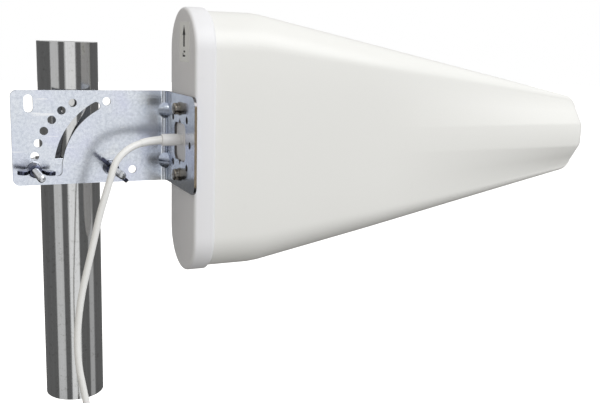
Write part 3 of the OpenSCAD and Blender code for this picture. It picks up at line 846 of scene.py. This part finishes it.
def make_wing_nut(name, node, body, side, turn):
    """Cast wing nut: hub and wings fused and smoothed, with the bore cut through."""
    seat = Vector((leg_mid + side * half_pitch, nut_seat, leg_z))
    work = bmesh.new()
    hub = [(0.01, 0), (5.6, 0), (6.0, 0.5), (5.9, 1.4), (5.1, 8.3), (4.7, 8.9), (0.01, 9.0)]
    count = 40
    rings = [
        [work.verts.new((r * math.cos(2 * math.pi * k / count), r * math.sin(2 * math.pi * k / count), h))
         for k in range(count)]
        for r, h in hub
    ]
    for low, high in zip(rings, rings[1:]):
        for k in range(count):
            work.faces.new((low[k], low[(k + 1) % count], high[(k + 1) % count], high[k]))
    work.faces.new(list(reversed(rings[0])))
    work.faces.new(rings[-1])
    for wing in (-1, 1):
        outline = wing_outline(wing)
        half = 1.6
        front = [work.verts.new((a, -half, b)) for a, b in outline]
        rear = [work.verts.new((a, half, b)) for a, b in outline]
        for k in range(len(outline)):
            m = (k + 1) % len(outline)
            work.faces.new((front[k], front[m], rear[m], rear[k]))
        work.faces.new(list(reversed(front)))
        work.faces.new(rear)
    bmesh.ops.recalc_face_normals(work, faces=work.faces)
    turned_by = Matrix.Rotation(math.radians(turn), 4, "Y") @ Matrix.Rotation(math.radians(90), 4, "X")
    bmesh.ops.transform(work, matrix=Matrix.Translation(seat) @ turned_by, verts=work.verts)
    bmesh.ops.scale(work, vec=(MM, MM, MM), verts=work.verts)
    mesh = bpy.data.meshes.new(name)
    work.to_mesh(mesh)
    work.free()
    obj = add_object(name, mesh, body, [node])
    fuse = obj.modifiers.new("fuse", "REMESH")
    fuse.mode = "VOXEL"
    fuse.voxel_size = 0.32 * MM
    ease = obj.modifiers.new("ease", "SMOOTH")
    ease.factor = 0.5
    ease.iterations = 7
    applied(obj)
    cut(obj, cylinder_tool(seat + Vector((0, 4, 0)), (0, -1, 0), rod_radius + 0.05, 20))
    shade(obj, 40)
    return paint(obj, "wing_nut_zinc")


make_u_bolt()
make_wing_nut("index_nut", "wing_nut_index", "index_wing_nut", -1, 3)
make_wing_nut("pivot_nut", "wing_nut_pivot", "pivot_wing_nut", 1, 44)


# ---- Screws ----


def make_screws():
    """Pan-head screws with cross recesses."""
    low, high = span("mount_screws")
    head_r = SCREW_HEAD_RADIUS
    spread = (high.z - low.z) / 2 - head_r
    seat = span("screw_lock_washers")[0].x
    profile = [(0.01, high.x - low.x), (2.2, high.x - low.x), (2.5, high.x - low.x - 0.4)]
    head = seat - low.x
    profile += [(2.5, head), (head_r - 0.2, head), (head_r, head - 0.25)]
    profile += fillet(head_r - 1.5, 1.5, 1.5, 0, -75, 7)
    profile += [(2.2, 0.0), (0.01, -0.0)]
    for side, name in ((1, "upper_screw"), (-1, "lower_screw")):
        start = (low.x, axis.y, axis.z + side * spread)
        obj = add_object(name, turned(name, profile, start, (1, 0, 0), 40), HEAD,
                         ["mount_screws"])
        tools = []
        for size in ((1.0, 5.0), (5.0, 1.0)):
            work = bmesh.new()
            bmesh.ops.create_cube(work, size=1)
            for v in work.verts:
                deep = v.co.x > 0
                shrink = 0.45 if deep and max(size) == 5.0 else 1.0
                y, z = v.co.y * size[0], v.co.z * size[1]
                if size[0] > size[1]:
                    y *= shrink
                else:
                    z *= shrink
                v.co = ((v.co.x * 3.6 + 0.2) * MM, y * MM, z * MM)
            twist = Matrix.Rotation(math.radians(25 + 40 * side), 4, "X")
            place = Matrix.Translation(Vector(start) * MM) @ twist
            bmesh.ops.transform(work, matrix=place, verts=work.verts)
            mesh = bpy.data.meshes.new("recess")
            work.to_mesh(mesh)
            work.free()
            tool = bpy.data.objects.new("recess", mesh)
            bpy.context.scene.collection.objects.link(tool)
            tools.append(tool)
        cut(obj, *tools)
        paint(shade(obj, 30), "nickel_screw")


make_screws()


# ---- Studio ----


# Broad soft panels round the object: angle from -Y towards +X and half width in degrees, brightness
PANELS = [(-60, 15, 0.7), (0, 18, 1.0), (70, 10, 0.5)]
PANEL_EDGE = 4
ROOM = 0.15


def make_world():
    """White backdrop, an even soft light, and a dim room with broad panels for the metal to mirror."""
    world = bpy.data.worlds.new("studio")
    bpy.context.scene.world = world
    world.use_nodes = True
    tree = world.node_tree
    tree.nodes.clear()

    def new(kind, **values):
        node = tree.nodes.new(kind)
        for name, value in values.items():
            setattr(node, name, value)
        return node

    def link(value, socket):
        if isinstance(value, bpy.types.NodeSocket):
            tree.links.new(value, socket)
        else:
            socket.default_value = value

    def calc(kind, a, b=0.0):
        node = new("ShaderNodeMath", operation=kind)
        link(a, node.inputs[0])
        link(b, node.inputs[1])
        return node.outputs[0]

    def between(value, low, high, to_low=0.0, to_high=1.0):
        node = new("ShaderNodeMapRange")
        link(value, node.inputs["Value"])
        for name, number in (("From Min", low), ("From Max", high), ("To Min", to_low), ("To Max", to_high)):
            node.inputs[name].default_value = number
        return node.outputs["Result"]

    def blend(factor, a, b, kind="MIX"):
        node = new("ShaderNodeMix", data_type="RGBA", blend_type=kind)
        link(factor, node.inputs["Factor"])
        link(a, node.inputs[6])
        link(b, node.inputs[7])
        return node.outputs[2]

    coords = new("ShaderNodeTexCoord").outputs["Generated"]
    split = new("ShaderNodeSeparateXYZ")
    link(coords, split.inputs[0])
    x, y, z = split.outputs
    angle = calc("MULTIPLY", calc("ARCTAN2", x, calc("MULTIPLY", y, -1.0)), 180 / math.pi)
    level = ROOM
    for place, half, brightness in PANELS:
        off = calc("ABSOLUTE", calc("SUBTRACT", angle, place))
        level = calc("ADD", level, between(off, half, half + PANEL_EDGE, brightness - ROOM, 0.0))
    mirrored = blend(between(z, 0.1, 0.5), level, (0.9, 0.9, 0.9, 1))
    mirrored = blend(between(z, -0.6, -0.4), (0.05, 0.05, 0.05, 1), mirrored)
    path = new("ShaderNodeLightPath")
    soft, mirror, seen = (new("ShaderNodeBackground") for _ in range(3))
    even = blend(between(z, -1, 1), (0.345, 0.345, 0.34, 1), (0.64, 0.635, 0.62, 1))
    warm_side = blend(between(x, -0.8, 0.2), (1.0, 0.97, 0.92, 1), (1.05, 1.05, 1.05, 1))
    link(blend(1.0, even, warm_side, "MULTIPLY"), soft.inputs["Color"])
    link(mirrored, mirror.inputs["Color"])
    link((1, 1, 1, 1), seen.inputs["Color"])
    first, second = new("ShaderNodeMixShader"), new("ShaderNodeMixShader")
    link(path.outputs["Is Glossy Ray"], first.inputs[0])
    link(soft.outputs[0], first.inputs[1])
    link(mirror.outputs[0], first.inputs[2])
    link(path.outputs["Is Camera Ray"], second.inputs[0])
    link(first.outputs[0], second.inputs[1])
    link(seen.outputs[0], second.inputs[2])
    link(second.outputs[0], new("ShaderNodeOutputWorld").inputs["Surface"])


def softbox(name, place, target, size, power, color=(1, 1, 1)):
    data = bpy.data.lights.new(name, "AREA")
    data.shape = "RECTANGLE"
    data.size, data.size_y = size
    data.energy = power
    data.color = color
    lamp = bpy.data.objects.new(name, data)
    lamp.location = place
    lamp.rotation_mode = "QUATERNION"
    lamp.rotation_quaternion = (Vector(place) - Vector(target)).to_track_quat("Z", "Y")
    bpy.context.scene.collection.objects.link(lamp)


def make_floor():
    """A pale floor under the object, which is held in the air by its mast."""
    mesh = bpy.data.meshes.new("floor")
    size, level = 12, cad_bounds[0].z - 0.35
    corners = [(-size, -size, level), (size, -size, level), (size, size, level), (-size, size, level)]
    mesh.from_pydata(corners, [], [(0, 1, 2, 3)])
    floor = bpy.data.objects.new("floor", mesh)
    bpy.context.scene.collection.objects.link(floor)
    material = bpy.data.materials.new("floor")
    material.use_nodes = True
    shader = material.node_tree.nodes["Principled BSDF"]
    shader.inputs["Base Color"].default_value = (0.95, 0.95, 0.95, 1)
    shader.inputs["Roughness"].default_value = 0.9
    shader.inputs["Emission Color"].default_value = (1, 1, 1, 1)
    shader.inputs["Emission Strength"].default_value = 0.75
    mesh.materials.append(material)
    floor.visible_diffuse = False
    floor.visible_glossy = False


centre = (0.2, -0.07, 0.22)
make_world()
softbox("key", (0.9, -1.6, 1.5), centre, (1.6, 1.4), 29, (0.98, 0.99, 1))
make_floor()
bpy.context.scene.view_settings.view_transform = "Standard"
